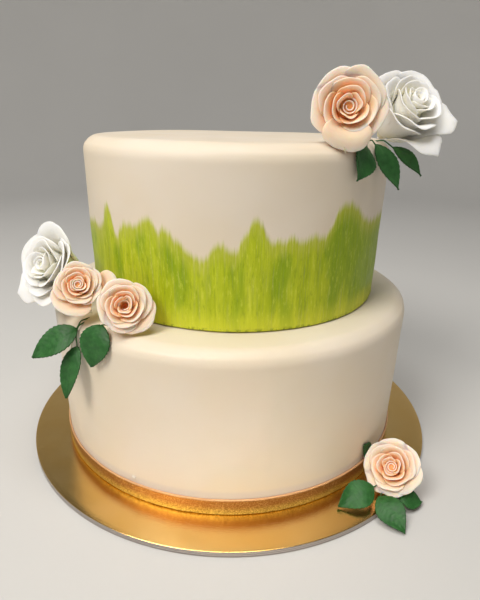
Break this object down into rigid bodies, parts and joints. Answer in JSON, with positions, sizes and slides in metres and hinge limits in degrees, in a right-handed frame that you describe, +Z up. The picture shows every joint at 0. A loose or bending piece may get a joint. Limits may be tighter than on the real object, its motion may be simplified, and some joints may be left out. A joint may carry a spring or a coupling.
{
  "type": "tiered wedding cake",
  "caption": "Tiered round wedding cake with soft-edged icing, a gold ribbon at its foot, and sugar roses and leaves, on a thin round foil board.",
  "frame": {"origin": "on the board's flat underside, straight below the middle of the lower tier", "axes": "+Z up through the tiers; -Y towards the side that is seen first, with the roses on both sides of it; +X to the right as seen from there"},
  "size_m": [0.3, 0.3, 0.2524],
  "materials": {
    "board": "gold foil on card",
    "icing": "smooth sugar paste, satin, part painted green",
    "band": "metallic gold ribbon",
    "peach": "satin sugar paste",
    "white": "satin sugar paste",
    "leaf": "satin sugar paste"
  },
  "bodies": {
    "root": {"cake_board": "board", "lower_tier": "icing", "upper_tier": "icing", "gold_band": "band", "top_peach_rose": "peach", "left_rear_peach_rose": "peach", "left_front_peach_rose": "peach", "base_peach_rose": "peach", "top_white_rose": "white", "left_white_rose": "white", "top_leaf_front": "leaf", "top_leaf_middle": "leaf", "top_leaf_right": "leaf", "top_leaf_back": "leaf", "left_leaf_outer": "leaf", "left_leaf_front": "leaf", "left_leaf_low": "leaf", "base_leaf_left": "leaf", "base_leaf_front": "leaf", "base_leaf_right": "leaf", "base_leaf_back": "leaf"}
  },
  "joints": []
}
